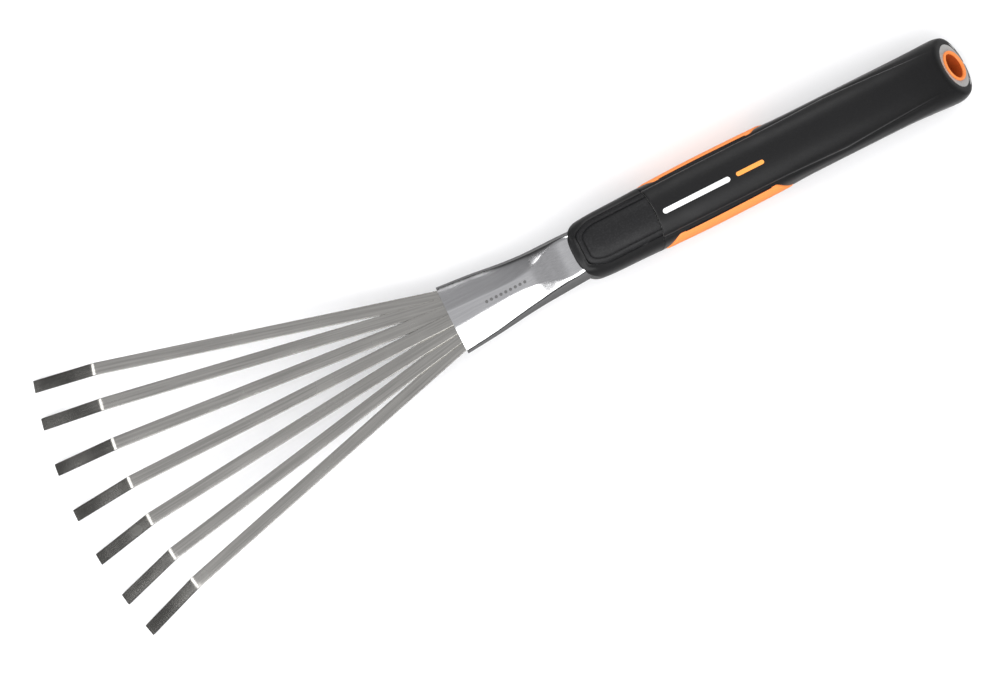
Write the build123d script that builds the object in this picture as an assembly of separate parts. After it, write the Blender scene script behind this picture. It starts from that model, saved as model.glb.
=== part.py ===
"""Hand fan rake: seven flat spring tines crimped into a pressed steel tube with a two-colour moulded grip.

The tool lies on its back edge as it does on a bench: the tine tips and the pommel touch Z = 0.
X runs along the tool (tines towards -X, hanging hole towards +X), Y is across it, Z is up.
All lengths are in millimetres and all angles in degrees.
"""
from build123d import *
from math import cos, radians, sin, sqrt
import os

# ---------------------------------------------------------------- driving dimensions
FAN_CENTRE_X = 13.7            # the seven tine centre lines meet here
TINE_ANGLES = (15.0, 10.45, 5.25, 0.0, -5.25, -10.45, -15.0)   # tine_1 to tine_7, about +Z from -X
TINE_WIDTH = 5.5
TINE_THICKNESS = 0.9
TINE_ROOT_RADIUS = 20.0        # distance of each root end from the fan centre
MOUTH_RADIUS = 43.2            # the same distance at the mouth of the tube
BEND_RADIUS_POSITION = 198.7   # and at the bend
TIP_LENGTH = 37.8              # bent tip, measured from the bend point
TIP_ANGLE = 30.0               # how far the tip is bent down
TINE_BEND_RADIUS = 6.0         # radius of the bend itself
BEND_HEIGHT = TIP_LENGTH * sin(radians(TIP_ANGLE)) + TINE_THICKNESS / 2 * cos(radians(TIP_ANGLE))
ROOT_HEIGHT = 19.6             # middle of the centre tine at the mouth
ROOT_LEVEL_STEP = 1.1          # each tine further out lies one step lower at the mouth
MITRE_GAP = 0.15               # the inner roots are mitred this far from the middle plane

TUBE_RADIUS = 11.0
TUBE_WALL = 1.0
TUBE_AXIS_Z = 19.0
TUBE_FIT = 0.03                # clearance of every handle piece that the tube passes through
TUBE_END_X = 150.0             # blind end inside the handle
MOUTH_X = -29.5
NECK_X = 33.0                  # from here on the tube is round
ROOF_ROUNDING = 2.0            # rounding of the ridge of the pressed part
# x, half width, half thickness, height of the ridge, squareness, slope of the two roof sides
PRESSED_STATIONS = (
    (MOUTH_X, 16.0, 2.5, 21.5, 12.0, 0.25),
    (-14.0, 14.6, 3.4, 22.0, 8.0, 0.27),
    (0.0, 12.85, 5.2, 22.9, 5.0, 0.29),
    (10.0, 11.9, 7.0, 24.4, 3.8, 0.27),
    (17.0, 11.5, 8.7, 26.6, 3.0, 0.18),
    (25.0, 11.2, 10.3, 29.0, 2.3, 0.06),
    (NECK_X, TUBE_RADIUS, TUBE_RADIUS, 30.0, 2.0, 0.0),
)
BLOCK_FRONT_X = -23.0          # nylon block that holds the roots
BLOCK_BACK_X = 4.0
BLOCK_CLEARANCE = 0.1

# x, half width, top, bottom of the handle's outer skin, nose of the collar to the pommel
HANDLE_STATIONS = (
    (28.0, 11.7, 30.8, 7.2),
    (34.0, 13.0, 32.4, 5.6),
    (42.0, 13.75, 33.6, 4.4),
    (55.0, 14.0, 34.2, 4.0),
    (69.0, 14.35, 34.4, 4.0),
    (90.0, 14.75, 34.3, 3.8),
    (118.0, 14.55, 34.0, 4.2),
    (138.0, 14.15, 33.6, 4.8),
    (165.0, 14.1, 32.4, 5.0),
    (186.0, 14.1, 30.3, 4.0),
    (197.0, 14.4, 28.4, 1.6),
    (206.0, 14.8, 26.2, 0.0),
    (212.0, 14.8, 24.6, 0.0),
    (220.0, 14.8, 22.6, 0.6),
)
HANDLE_SQUARENESS = 2.35
HANDLE_END_X = 218.0
END_CORNER_LENGTH = 10.5       # how far the rounded corners of the end reach forward
END_HALF_WIDTH = 14.9
END_SQUARENESS = 2.6
END_FOOT_RADIUS = 6.0          # rounding under the end of the pommel
NOSE_X = 29.5                  # front of the collar
NOSE_LENGTH = 12.0
NOSE_HALF_WIDTH = 13.8
NOSE_SQUARENESS = 2.7
SKIN = 2.3                     # thickness of the black skin over the core

SEAM_X = 68.4                  # the seam between collar and grip, on top
SEAM_RADIUS = 44.0
SEAM_HEIGHT = 31.0
SEAM_GAP = 0.4

WINDOW_FRONT_X = 66.9          # side windows in the grip
WINDOW_BACK_X = 127.4
WINDOW_TAPER = 8.0
WINDOW_TOP_Z = 27.6
WINDOW_BOTTOM_Z = 9.0
WINDOW_DEPTH_Y = 9.5           # the windows lie outside this half width
WINDOW_CORNER_RADIUS = 4.0

SPIGOT_FRONT_X = 44.0          # front end of the core, under the collar
SPIGOT_RADIUS = 12.4           # its sleeve over the tube
PIN_X = 52.0
PIN_RADIUS = 2.0
PIN_LENGTH = 23.8

HOLE_X = 212.5                 # centre of the hanging hole's mouth
HOLE_Z = 17.0
HOLE_ELEVATION = 41.0          # of the axis out of the mouth, above +X
HOLE_RADIUS = 5.7
EYELET_RADIUS = 7.1
EYELET_LENGTH = 15.0
EYELET_CHAMFER = 0.9
EXIT_LENGTH = 40.0             # the wider way out under the pommel

PAD_FRONT_X = 33.6             # soft pad on top of the collar
PAD_HALF_WIDTH = 10.2
PAD_FRONT_HALF_WIDTH = 7.0
PAD_CORNER_LENGTH = 7.0
PAD_CORNER_RADIUS = 2.5
PAD_DEPTH = 1.8
PAD_STEP = 2.4                 # width of its raised border
PAD_RECESS = 0.5
PAD_OVERRUN = 5.0              # its outline is drawn this far past the seam, which then cuts it off

SECTION_POINTS = 32
CORNER_STEPS = 8               # points on each rounded corner of a plan outline
TUBE_PITCH = 4.0               # distance between the sections that a loft passes through
HANDLE_PITCH = 8.0
TALL = 80.0                    # longer than any cross-section of the tool


# ---------------------------------------------------------------- helpers
def loft_through(outlines):
    """Smooth closed solid through closed outlines, each a list of points in one plane."""
    even = [i / SECTION_POINTS for i in range(SECTION_POINTS + 1)]
    rings = [Edge.make_spline([Vector(*p) for p in outline], periodic=True, parameters=even)
             for outline in outlines]
    return Solid.make_loft([Wire([ring]) for ring in rings])


def station_at(stations, x):
    """Values of a list of stations at any x: a cubic through each with the slope of its neighbours."""
    last = len(stations) - 1
    i = max(k for k in range(last) if stations[k][0] <= x or k == 0)
    before, here, there, after = (stations[min(max(k, 0), last)] for k in (i - 1, i, i + 1, i + 2))
    span = there[0] - here[0]
    t = (x - here[0]) / span
    values = [x]
    for a, b, c, d in zip(before[1:], here[1:], there[1:], after[1:]):
        slope_here = (c - a) / (there[0] - before[0]) * span
        slope_there = (d - b) / (after[0] - here[0]) * span
        values.append(b * (1 + 2 * t) * (1 - t) ** 2 + slope_here * t * (1 - t) ** 2
                      + c * t * t * (3 - 2 * t) - slope_there * t * t * (1 - t))
    return values


def dense_stations(stations, pitch):
    """The same stations drawn close together, so that a loft through them cannot wander."""
    start, end = stations[0][0], stations[-1][0]
    count = round((end - start) / pitch)
    return [station_at(stations, start + (end - start) * i / count) for i in range(count + 1)]


def slab(x_from, x_to):
    """Everything between two planes across the tool."""
    return Pos((x_from + x_to) / 2, 0, TALL / 2) * Box(x_to - x_from, TALL * 2, TALL * 2)


def power(value, exponent):
    return abs(value) ** exponent


def oval_corner(length, half_width, squareness):
    """Quarter of a squared oval, from (0, half_width) to (length, 0)."""
    points = []
    for i in range(CORNER_STEPS + 1):
        angle = radians(90 - 90 * i / CORNER_STEPS)
        along = length * power(cos(angle), 2 / squareness)
        points.append((along, half_width * power(sin(angle), 2 / squareness)))
    return points


# ---------------------------------------------------------------- tines
def tine_level(number_from_middle, distance):
    """Height of a tine's middle at a distance from the fan centre: steps at the mouth, level at the bend."""
    mouth_height = ROOT_HEIGHT - ROOT_LEVEL_STEP * number_from_middle
    share = (distance - MOUTH_RADIUS) / (BEND_RADIUS_POSITION - MOUTH_RADIUS)
    return mouth_height + (BEND_HEIGHT - mouth_height) * share


def tine_profile(number_from_middle):
    """Side view of one strip in the XZ plane, x being the distance from the fan centre."""
    root = (TINE_ROOT_RADIUS, tine_level(number_from_middle, TINE_ROOT_RADIUS))
    bend = (BEND_RADIUS_POSITION, BEND_HEIGHT)
    tip = (bend[0] + TIP_LENGTH * cos(radians(TIP_ANGLE)), bend[1] - TIP_LENGTH * sin(radians(TIP_ANGLE)))
    centre_line = FilletPolyline(root, bend, tip, radius=TINE_BEND_RADIUS)
    strip = trace(centre_line, line_width=TINE_THICKNESS)
    return Plane.XZ * strip


def tine(index):
    """One spring-steel strip, its root mitred where it would cross the middle plane."""
    number_from_middle = abs(index - len(TINE_ANGLES) // 2)
    strip = extrude(tine_profile(number_from_middle), TINE_WIDTH / 2, both=True)
    placed = Pos(FAN_CENTRE_X, 0, 0) * Rot(0, 0, 180 - TINE_ANGLES[index]) * strip
    if number_from_middle == 0:
        return placed
    side = 1 if TINE_ANGLES[index] > 0 else -1
    return placed - Pos(0, side * (MITRE_GAP - TALL), 0) * Box(TALL * 10, TALL * 2, TALL * 4)


# ---------------------------------------------------------------- tube
def tube_outline(station, wall):
    """One cross-section of the pressed tube, inset by wall."""
    x, half_width, half_thickness, ridge, squareness, slope = station
    middle = ridge - half_thickness
    points = []
    for i in range(SECTION_POINTS):
        angle = radians(360 * (i + 0.5) / SECTION_POINTS)
        y = (half_width - wall) * cos(angle)
        rise = (half_thickness - wall) * sqrt(1 - power(cos(angle), squareness))
        drop = slope * (sqrt(y * y + ROOF_ROUNDING ** 2) - ROOF_ROUNDING)
        points.append((x, y, middle + (rise if sin(angle) > 0 else -rise) - drop))
    return points


def tube_solid(wall):
    """The tube filled in, inset by wall: a loft to the neck, drawn on straight to the blind end."""
    stations = dense_stations(PRESSED_STATIONS, TUBE_PITCH)
    pressed = loft_through([tube_outline(station, wall) for station in stations])
    neck = pressed.faces().sort_by(Axis.X)[-1]
    return pressed + Solid.extrude(neck, Vector(TUBE_END_X - NECK_X, 0, 0))


def round_part(radius, x_from, x_to):
    return Pos(x_from, 0, TUBE_AXIS_Z) * Rot(0, 90, 0) * Cylinder(
        radius, x_to - x_from, align=(Align.CENTER, Align.CENTER, Align.MIN))


def ferrule():
    """Steel tube pressed to a shallow roof section at the mouth, drilled for the cross pin."""
    return tube_solid(0) - tube_solid(TUBE_WALL) - cross_pin()


def tine_block(tines):
    """Moulded block inside the pressed mouth that holds the seven roots at their angles."""
    filling = tube_solid(TUBE_WALL + BLOCK_CLEARANCE) & slab(BLOCK_FRONT_X, BLOCK_BACK_X)
    for strip in tines:
        filling = filling - strip
    return filling


def cross_pin():
    """Steel pin across the tube and the spigot of the core, covered by the collar."""
    return Pos(PIN_X, 0, TUBE_AXIS_Z) * Rot(90, 0, 0) * Cylinder(PIN_RADIUS, PIN_LENGTH)


# ---------------------------------------------------------------- handle
def handle_outline(station, inset):
    """One squared-oval cross-section of the handle, inset by a skin thickness."""
    x, half_width, top, bottom = station
    middle = (top + bottom) / 2
    half_height = (top - bottom) / 2 - inset
    points = []
    for i in range(SECTION_POINTS):
        angle = radians(360 * (i + 0.5) / SECTION_POINTS)
        y = (half_width - inset) * power(cos(angle), 2 / HANDLE_SQUARENESS)
        z = half_height * power(sin(angle), 2 / HANDLE_SQUARENESS)
        points.append((x, y if cos(angle) > 0 else -y, middle + (z if sin(angle) > 0 else -z)))
    return points


def handle_loft(inset=0.0):
    stations = dense_stations(HANDLE_STATIONS, HANDLE_PITCH)
    return loft_through([handle_outline(station, inset) for station in stations])


def end_plan(inset):
    """Plan outline that rounds the corners of the handle's end, extruded through the handle."""
    half_width = TALL / 4
    corner = oval_corner(END_CORNER_LENGTH, END_HALF_WIDTH - inset, END_SQUARENESS)
    upper = [(HANDLE_END_X - inset - END_CORNER_LENGTH + x, y) for x, y in corner]
    lower = [(x, -y) for x, y in reversed(upper[:-1])]
    nose = Spline(*(upper + lower))
    sides = Polyline(upper[0], (upper[0][0], half_width), (0, half_width), (0, -half_width),
                     (upper[0][0], -half_width), lower[-1])
    return extrude(make_face([nose, sides]), TALL)


def hole_plane(depth=0.0):
    """Plane across the hanging hole, depth below its mouth; its normal points out of the mouth."""
    direction = Vector(cos(radians(HOLE_ELEVATION)), 0, sin(radians(HOLE_ELEVATION)))
    return Plane(Vector(HOLE_X, 0, HOLE_Z) - direction * depth, x_dir=(0, 1, 0), z_dir=direction)


def above_end_face(inset):
    """Everything outside the slanted end face."""
    return hole_plane(inset) * Box(TALL * 2, TALL * 2, TALL, align=(Align.CENTER, Align.CENTER, Align.MIN))


def foot_cut(inset):
    """Waste under the end of the pommel, leaving a rounded lower edge."""
    corner = Vector(HANDLE_END_X - inset, 0, inset)
    square = Pos(corner.X, 0, corner.Z) * Box(2 * END_FOOT_RADIUS, TALL, 2 * END_FOOT_RADIUS)
    rounding = Pos(corner.X - END_FOOT_RADIUS, 0, corner.Z + END_FOOT_RADIUS) * Rot(90, 0, 0) * Cylinder(
        END_FOOT_RADIUS, TALL)
    return square - rounding - slab(0, corner.X - END_FOOT_RADIUS)


def handle_body(inset=0.0):
    """The whole handle with its rounded end, before it is divided into core, grip and collar."""
    return (handle_loft(inset) & end_plan(inset)) - above_end_face(inset) - foot_cut(inset)


def collar_nose():
    """Plan outline of the collar's rounded front, extruded through the handle."""
    corner = oval_corner(NOSE_LENGTH, NOSE_HALF_WIDTH, NOSE_SQUARENESS)
    front = [(NOSE_X + NOSE_LENGTH - x, y) for x, y in corner]
    outline = Spline(*(front + [(x, -y) for x, y in reversed(front[:-1])]))
    back = Polyline(front[0], (front[0][0], TALL / 4), (TALL * 1.5, TALL / 4), (TALL * 1.5, -TALL / 4),
                    (front[0][0], -TALL / 4), (front[0][0], -front[0][1]))
    return extrude(make_face([outline, back]), TALL)


def seam_ball(gap=0.0):
    """Ball whose surface is the curved seam: the collar lies inside it and the grip outside."""
    return Pos(SEAM_X - SEAM_RADIUS, 0, SEAM_HEIGHT) * Sphere(SEAM_RADIUS + gap)


def window(side):
    """Prism that cuts one long side window, on the +Y side or the -Y side."""
    middle = (WINDOW_TOP_Z + WINDOW_BOTTOM_Z) / 2
    front = WINDOW_FRONT_X + WINDOW_TAPER
    back = WINDOW_BACK_X - WINDOW_TAPER
    corners = [(WINDOW_FRONT_X, middle), (front, WINDOW_TOP_Z), (back, WINDOW_TOP_Z),
               (WINDOW_BACK_X, middle), (back, WINDOW_BOTTOM_Z), (front, WINDOW_BOTTOM_Z)]
    outline = FilletPolyline(*corners, radius=WINDOW_CORNER_RADIUS, close=True)
    prism = Pos(0, WINDOW_DEPTH_Y, 0) * extrude(Plane.XZ * make_face(outline), -TALL / 4)
    return prism if side > 0 else mirror(prism, Plane.XZ)


def behind_front(x):
    return slab(x, TALL * 4)


def eyelet():
    """Sleeve round the hanging hole, square at both ends."""
    align = (Align.CENTER, Align.CENTER, Align.MIN)
    return hole_plane(EYELET_LENGTH) * Cylinder(EYELET_RADIUS, EYELET_LENGTH, align=align)


def hanging_hole():
    """The bore with its chamfered mouth."""
    align = (Align.CENTER, Align.CENTER, Align.MIN)
    bore = Cylinder(HOLE_RADIUS, EYELET_LENGTH, align=align)
    funnel = Cone(HOLE_RADIUS, HOLE_RADIUS + EYELET_CHAMFER, EYELET_CHAMFER, align=align)
    return hole_plane(EYELET_LENGTH) * bore + hole_plane(EYELET_CHAMFER) * funnel


def hole_exit():
    """The wider way out, from the lower end of the sleeve through the underside."""
    align = (Align.CENTER, Align.CENTER, Align.MAX)
    return hole_plane(EYELET_LENGTH) * Cylinder(EYELET_RADIUS, EXIT_LENGTH, align=align)


def handle_core():
    """Orange core: sleeve over the tube, side pads that fill the windows, and the eyelet."""
    inner = (handle_body(SKIN) - seam_ball(SEAM_GAP + SKIN)) & behind_front(SPIGOT_FRONT_X)
    spigot = round_part(SPIGOT_RADIUS, SPIGOT_FRONT_X, SEAM_X + SKIN)
    pads = [handle_body() & window(side) for side in (1, -1)]
    core = inner + spigot + pads[0] + pads[1] + eyelet()
    return core - tube_solid(-TUBE_FIT) - hanging_hole() - hole_exit() - cross_pin()


def grip(core):
    """Black soft skin moulded over the core, open at the windows and round the eyelet."""
    skin = handle_body() - seam_ball(SEAM_GAP)
    return skin - core - tube_solid(-TUBE_FIT) - hanging_hole() - hole_exit()


def collar_body():
    return handle_loft() & collar_nose() & seam_ball()


def pad_outline(inset):
    """Plan outline of the thumb pad: straight sides that close round a blunt front, inset by its border."""
    half = PAD_HALF_WIDTH - inset
    front = PAD_FRONT_X + inset
    blunt = PAD_FRONT_HALF_WIDTH - inset
    shoulder = PAD_FRONT_X + PAD_CORNER_LENGTH
    back = SEAM_X + PAD_OVERRUN
    upper = [(back, half), (shoulder, half), (front, blunt)]
    corners = upper + [(x, -y) for x, y in reversed(upper)]
    outline = FilletPolyline(*corners, radius=PAD_CORNER_RADIUS)
    return make_face([outline, Line(corners[-1], corners[0])])


def pad_blank():
    """The space that the thumb pad takes up in the top of the collar."""
    top_skin = collar_body() - (Pos(0, 0, -PAD_DEPTH) * handle_loft())
    return top_skin & (Pos(0, 0, TUBE_AXIS_Z) * extrude(pad_outline(0), TALL))


def thumb_pad():
    """Soft pad let into the collar: a border flush with it, round a shallow panel."""
    panel = extrude(pad_outline(PAD_STEP), TALL) - (Pos(0, 0, -PAD_RECESS) * handle_loft())
    return pad_blank() - panel


def front_collar(core):
    """Black cover that closes the front of the handle over the pin and the tube."""
    shell = collar_body() - tube_solid(-TUBE_FIT) - core
    return shell - round_part(SPIGOT_RADIUS, SPIGOT_FRONT_X, SEAM_X + SKIN) - pad_blank()


# ---------------------------------------------------------------- build and write
def build_nodes():
    nodes = {f"tine_{i + 1}": tine(i) for i in range(len(TINE_ANGLES))}
    nodes["tine_block"] = tine_block([nodes[f"tine_{i + 1}"] for i in range(len(TINE_ANGLES))])
    nodes["ferrule"] = ferrule()
    nodes["cross_pin"] = cross_pin()
    nodes["handle_core"] = handle_core()
    nodes["grip"] = grip(nodes["handle_core"])
    nodes["thumb_pad"] = thumb_pad()
    nodes["front_collar"] = front_collar(nodes["handle_core"])
    return nodes


if __name__ == "__main__":
    os.makedirs("parts", exist_ok=True)
    for name, shape in build_nodes().items():
        export_step(shape, f"parts/{name}.step")
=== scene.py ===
"""Looks of the hand fan rake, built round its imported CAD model.

Shapes are worked out in millimetres in the part's own frame (tines towards -X, up +Z) and made in metres.
"""
import math

import bmesh
import bpy
import numpy as np
from mathutils import Matrix, Vector


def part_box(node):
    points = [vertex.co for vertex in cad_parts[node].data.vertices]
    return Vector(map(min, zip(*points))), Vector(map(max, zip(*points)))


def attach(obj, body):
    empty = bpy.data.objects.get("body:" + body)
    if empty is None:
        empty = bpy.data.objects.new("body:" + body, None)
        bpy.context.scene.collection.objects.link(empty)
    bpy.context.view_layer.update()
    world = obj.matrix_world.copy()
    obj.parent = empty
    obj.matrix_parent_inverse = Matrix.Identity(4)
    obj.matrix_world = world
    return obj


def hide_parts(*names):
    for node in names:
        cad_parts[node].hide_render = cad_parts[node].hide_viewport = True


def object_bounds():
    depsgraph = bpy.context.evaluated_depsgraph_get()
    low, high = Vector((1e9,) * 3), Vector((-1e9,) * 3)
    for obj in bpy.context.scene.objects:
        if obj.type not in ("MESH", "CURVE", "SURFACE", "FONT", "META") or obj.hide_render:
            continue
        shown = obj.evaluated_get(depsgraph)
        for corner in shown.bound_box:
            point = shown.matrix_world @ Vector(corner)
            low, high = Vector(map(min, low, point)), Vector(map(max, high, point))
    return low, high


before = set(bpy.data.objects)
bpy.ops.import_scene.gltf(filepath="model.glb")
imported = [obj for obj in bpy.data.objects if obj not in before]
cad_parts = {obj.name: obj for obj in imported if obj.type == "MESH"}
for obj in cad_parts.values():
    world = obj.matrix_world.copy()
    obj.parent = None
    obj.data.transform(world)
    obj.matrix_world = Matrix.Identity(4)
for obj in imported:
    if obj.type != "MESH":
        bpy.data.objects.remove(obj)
cad_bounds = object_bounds()

MM = 0.001
WELD_DISTANCE = 1e-7           # metres
SHARP_ANGLE = 40.0             # degrees

# ---------------------------------------------------------------- places read from the frame, in mm
HANDLE_END_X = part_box("grip")[1].x / MM
MOUTH_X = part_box("ferrule")[0].x / MM
TUBE_END_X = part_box("ferrule")[1].x / MM
COLLAR_FRONT_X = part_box("front_collar")[0].x / MM
PAD_FRONT_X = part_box("thumb_pad")[0].x / MM
FLOOR_Z = cad_bounds[0].z / MM

# ---------------------------------------------------------------- handle
# x, half width, top, bottom of the outer skin
HANDLE_STATIONS = np.array((
    (28.0, 11.7, 30.8, 7.2),
    (34.0, 13.0, 32.4, 5.6),
    (42.0, 13.75, 33.6, 4.4),
    (55.0, 14.0, 34.2, 4.0),
    (69.0, 14.35, 34.37, 4.0),
    (90.0, 14.75, 34.3, 3.8),
    (118.0, 14.55, 34.0, 4.2),
    (138.0, 14.15, 33.6, 4.8),
    (165.0, 14.1, 32.4, 5.0),
    (186.0, 14.1, 30.3, 4.0),
    (197.0, 14.4, 28.4, 1.6),
    (206.0, 14.8, 26.2, 0.0),
    (212.0, 14.8, 24.6, 0.0),
    (220.0, 14.8, 22.6, 0.6),
))
HANDLE_SQUARENESS = 2.35
END_CORNER_LENGTH = 10.5       # how far the rounded end reaches forward
END_CORNER_PATH = 20.0         # length of its plan outline on one side
END_SQUARENESS = 2.6
END_FOOT_RADIUS = 6.0
NOSE_LENGTH = 12.0
NOSE_HALF_WIDTH = 13.8
NOSE_SQUARENESS = 2.7
SEAM_CENTRE = np.array((24.4, 0.0, 31.0))
SEAM_RADIUS = 44.0
SEAM_GAP = 0.3
SEAM_TOP_X = 67.0              # about where the seam crosses the top
HOLE_CENTRE = np.array((212.5, 0.0, 17.0))
HOLE_ELEVATION = math.radians(41.0)
HOLE_AXIS = np.array((math.cos(HOLE_ELEVATION), 0.0, math.sin(HOLE_ELEVATION)))
UP_THE_SLOPE = np.array((-math.sin(HOLE_ELEVATION), 0.0, math.cos(HOLE_ELEVATION)))
EYELET_RADIUS = 7.1
EXIT_FROM, EXIT_TO = 12.0, 45.0    # depths between which the hole is opened through the skin

# ---------------------------------------------------------------- tube
# x, half width, half thickness, ridge, squareness, slope of the roof sides, half width of the flat ridge
TUBE_STATIONS = np.array((
    (-29.5, 16.0, 2.5, 21.5, 16.0, 0.25, 3.6),
    (-14.0, 14.6, 3.4, 22.0, 15.0, 0.27, 2.8),
    (0.0, 12.85, 5.2, 22.9, 14.0, 0.29, 2.4),
    (10.0, 11.9, 7.0, 24.4, 14.0, 0.24, 3.6),
    (18.0, 11.5, 8.9, 26.8, 13.0, 0.16, 6.2),
    (26.0, 11.2, 10.4, 29.0, 11.0, 0.062, 9.0),
    (34.0, 11.0, 11.0, 30.0, 6.0, 0.013, 10.3),
    (45.0, 11.0, 11.0, 30.0, 2.0, 0.0, 10.3),
))
TUBE_RADIUS = 11.0
TUBE_AXIS_Z = 19.0
TUBE_WALL = 1.0

# ---------------------------------------------------------------- tines
FAN_CENTRE_X = 13.7
TINE_ANGLES = (15.0, 10.45, 5.25, 0.0, -5.25, -10.45, -15.0)
TINE_SPLAY = (0.0, 2.0, 1.4, 0.0, -1.4, -2.0, 0.0)     # extra turn of each bent tip, in degrees
TINE_WIDTH = 5.5
TINE_THICKNESS = 0.9
TINE_EDGE = 0.22
TINE_ROOT = 20.0
TINE_MOUTH = 43.2
TINE_BEND = 198.7
TIP_LENGTH = 37.8
TIP_ANGLE = math.radians(30.0)
BEND_RADIUS = 6.0
BEND_HEIGHT = TIP_LENGTH * math.sin(TIP_ANGLE) + TINE_THICKNESS / 2 * math.cos(TIP_ANGLE)
ROOT_HEIGHT = 19.6
ROOT_LEVEL_STEP = 1.1
MITRE_GAP = 0.15
UV_SHIFT = 0.37                # metres, so that no two strips share a pattern


# ---------------------------------------------------------------- fineness of the meshes
RING_COLUMNS = 240             # points round the tube, the grip and the collar
HOLE_COLUMNS = 120             # points round the eyelet's lip
BORE_COLUMNS = 96              # points round the inside of the hole and its way out
TUBE_ROWS = 150
NECK_ROWS = 12
STRIP_ROWS = 90
BEND_ROWS = 12
TIP_ROWS = 20
EDGE_STEPS = 3                 # steps round each eased edge of a strip
GRIP_ROWS = 300
GRIP_INNER_ROWS = 60
COLLAR_ROWS = 150
INSERT_ROWS = 120
INSERT_COLUMNS = 40
BAR_ROWS = 41
BAR_COLUMNS = 9


# ================================================================ small helpers
def ring_angles(columns=RING_COLUMNS):
    """Evenly spaced angles, none of them on the middle plane or level with the middle."""
    return 2 * math.pi * (np.arange(columns) + 0.5) / columns


def station_at(table, x):
    """Values of a station table at every x: a smooth cubic through each station."""
    last = len(table) - 1
    here = np.clip(np.searchsorted(table[:, 0], x, side="right") - 1, 0, last - 1)
    a, b, c, d = (table[np.clip(here + k, 0, last)] for k in (-1, 0, 1, 2))
    span = (c[..., :1] - b[..., :1])
    t = (np.asarray(x)[..., None] - b[..., :1]) / span
    slope_b = (c - a) / (c[..., :1] - a[..., :1]) * span
    slope_c = (d - b) / (d[..., :1] - b[..., :1]) * span
    value = (b * (1 + 2 * t) * (1 - t) ** 2 + slope_b * t * (1 - t) ** 2
             + c * t * t * (3 - 2 * t) - slope_c * t * t * (1 - t))
    return [value[..., k] for k in range(1, table.shape[1])]


def signed_power(value, exponent):
    """A power that keeps the sign."""
    return np.sign(value) * np.abs(value) ** exponent


def smooth(value, low, high):
    """0 below low, 1 above high, smooth between."""
    t = np.clip((value - low) / (high - low), 0, 1)
    return t * t * (3 - 2 * t)


def bisect(outside, low, high, steps=45):
    """Where outside(x) turns positive, for every column at once."""
    low, high = low.copy(), high.copy()
    for _ in range(steps):
        middle = (low + high) / 2
        out = outside(middle) > 0
        high = np.where(out, middle, high)
        low = np.where(out, low, middle)
    return (low + high) / 2


def bezier_rows(start, corner, end, count):
    """Rows that round a corner, without the two end rows."""
    rows = []
    for i in range(1, count):
        t = i / count
        rows.append(start * (1 - t) ** 2 + corner * 2 * t * (1 - t) + end * t * t)
    return rows


def grid_faces(rows, columns, wrap_rows, wrap_columns, offset=0):
    """Quads between the rows and columns of a grid of points."""
    faces = []
    for i in range(rows if wrap_rows else rows - 1):
        for j in range(columns if wrap_columns else columns - 1):
            k = (i + 1) % rows
            m = (j + 1) % columns
            faces.append((offset + i * columns + j, offset + i * columns + m,
                          offset + k * columns + m, offset + k * columns + j))
    return faces


def shade_smooth(mesh, sharp):
    """Smooth shading, broken at edges sharper than an angle in degrees."""
    mesh.polygons.foreach_set("use_smooth", [True] * len(mesh.polygons))
    mesh.set_sharp_from_angle(angle=math.radians(sharp))


def make_piece(name, points, faces, materials, slot, sharp=SHARP_ANGLE, replaced=()):
    """A mesh object from points in mm: welded, outward, smooth, and attached to the root body.

    The slot argument is not used; a piece that is only printed or stamped on is given none.
    """
    mesh = bpy.data.meshes.new(name)
    mesh.from_pydata((np.asarray(points).reshape(-1, 3) * MM).tolist(), [], faces)
    work = bmesh.new()
    work.from_mesh(mesh)
    bmesh.ops.remove_doubles(work, verts=work.verts, dist=WELD_DISTANCE)
    bmesh.ops.dissolve_degenerate(work, edges=work.edges, dist=WELD_DISTANCE / 10)
    bmesh.ops.recalc_face_normals(work, faces=work.faces)
    work.to_mesh(mesh)
    work.free()
    shade_smooth(mesh, sharp)
    for material in materials:
        mesh.materials.append(material)
    piece = bpy.data.objects.new(name, mesh)
    bpy.context.scene.collection.objects.link(piece)
    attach(piece, "root")
    if replaced:
        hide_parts(*replaced)
    return piece


def torus_piece(name, rows, materials, slot, **options):
    """Closed piece from rings that run over the outside and back along the inside."""
    grid = np.array(rows)
    faces = grid_faces(grid.shape[0], grid.shape[1], True, True)
    return make_piece(name, grid, faces, materials, slot, **options)


def slab_piece(name, top, bottom, materials, slot, folded=False, **options):
    """Closed piece between two grids of the same shape. A folded grid's last row runs back along itself."""
    rows, columns = top.shape[:2]
    count = rows * columns
    faces = grid_faces(rows, columns, False, False)
    faces += [tuple(reversed(f)) for f in grid_faces(rows, columns, False, False, count)]
    border = ([(0, j) for j in range(columns)]
              + [(i, columns - 1) for i in range(1, rows)]
              + [(rows - 1, j) for j in range(columns - 2, -1, -1)]
              + [(i, 0) for i in range(rows - 2, 0, -1)])
    last_row = (rows - 1) * columns
    ring = [i * columns + j for i, j in border]
    for a, b in zip(ring, ring[1:] + ring[:1]):
        if not (folded and a >= last_row and b >= last_row):
            faces.append((a, a + count, b + count, b))
    return make_piece(name, np.concatenate((top.reshape(-1, 3), bottom.reshape(-1, 3))), faces,
                      materials, slot, **options)


# ================================================================ materials
CLOUD_SCALE = 60.0             # broad wear on steel, in cycles per metre
DUST_SCALE = 90.0              # broad variation on plastic and rubber
SHEEN_ROUGHNESS = 0.35


def shader_of(name, colour, metallic, specular=0.5):
    """A new material and its main shader, with what is the same all over it set on the sockets."""
    material = bpy.data.materials.new(name)
    material.use_nodes = True
    shader = material.node_tree.nodes["Principled BSDF"]
    shader.inputs["Base Color"].default_value = (*colour, 1)
    shader.inputs["Metallic"].default_value = metallic
    shader.inputs["Specular IOR Level"].default_value = specular
    return material, shader


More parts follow.
